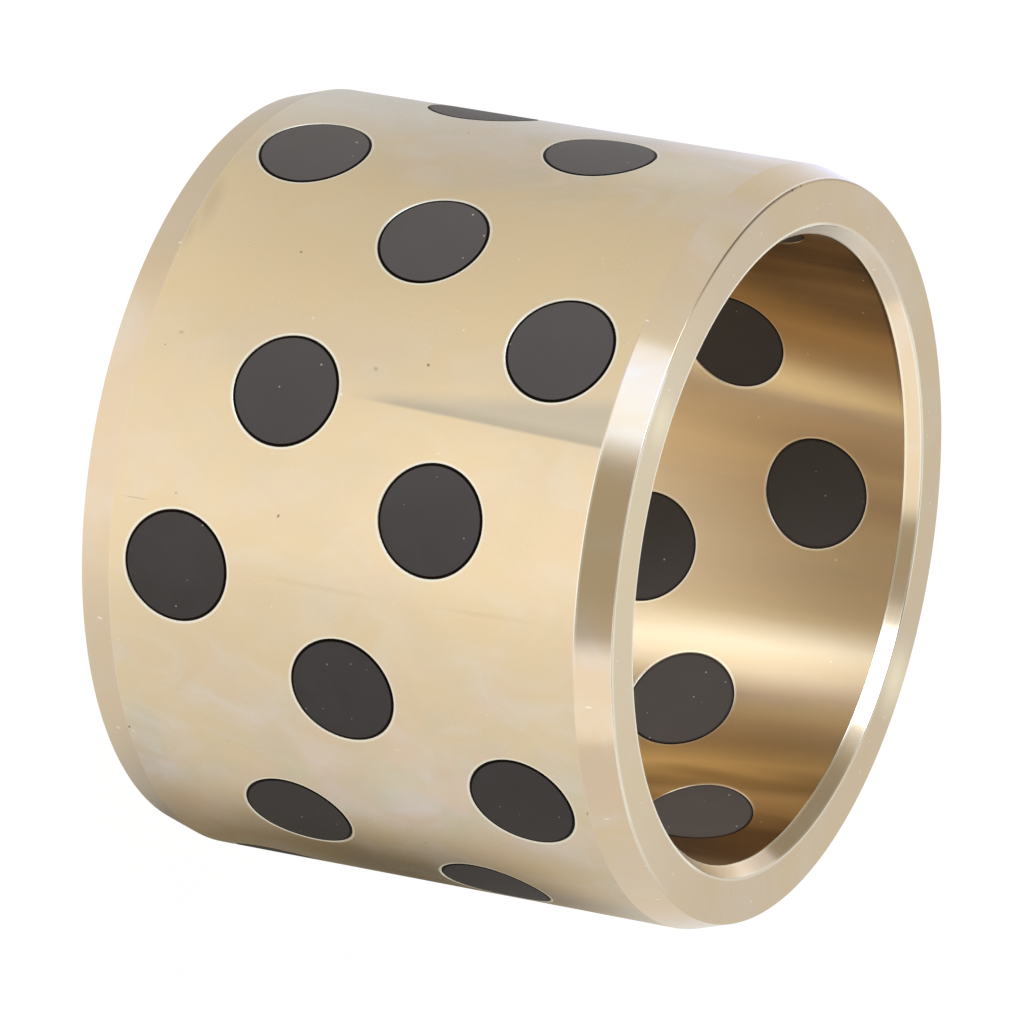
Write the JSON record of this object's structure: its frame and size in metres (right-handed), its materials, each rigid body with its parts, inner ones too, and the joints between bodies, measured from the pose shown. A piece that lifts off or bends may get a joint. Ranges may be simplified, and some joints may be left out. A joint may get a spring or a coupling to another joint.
{
  "type": "graphite plugged bushing",
  "caption": "Plain cylindrical bearing bush: a turned bronze sleeve with a lead-in cone at each end and round graphite plugs set flush through its wall for dry running.",
  "frame": {"origin": "centre of the end face that the bush stands on, on the axis of the bore", "axes": "+Z along the axis of the bore, up from the end face it stands on; +X through the first plug of the lowest row"},
  "size_m": [0.085, 0.085, 0.0645],
  "materials": {
    "bronze": "satin",
    "graphite": "matte"
  },
  "bodies": {
    "root": {"bronze_sleeve": "bronze", "graphite_plug_01": "graphite", "graphite_plug_02": "graphite", "graphite_plug_03": "graphite", "graphite_plug_04": "graphite", "graphite_plug_05": "graphite", "graphite_plug_06": "graphite", "graphite_plug_07": "graphite", "graphite_plug_08": "graphite", "graphite_plug_09": "graphite", "graphite_plug_10": "graphite", "graphite_plug_11": "graphite", "graphite_plug_12": "graphite", "graphite_plug_13": "graphite", "graphite_plug_14": "graphite", "graphite_plug_15": "graphite", "graphite_plug_16": "graphite", "graphite_plug_17": "graphite", "graphite_plug_18": "graphite", "graphite_plug_19": "graphite", "graphite_plug_20": "graphite", "graphite_plug_21": "graphite", "graphite_plug_22": "graphite", "graphite_plug_23": "graphite", "graphite_plug_24": "graphite", "graphite_plug_25": "graphite"}
  },
  "joints": []
}
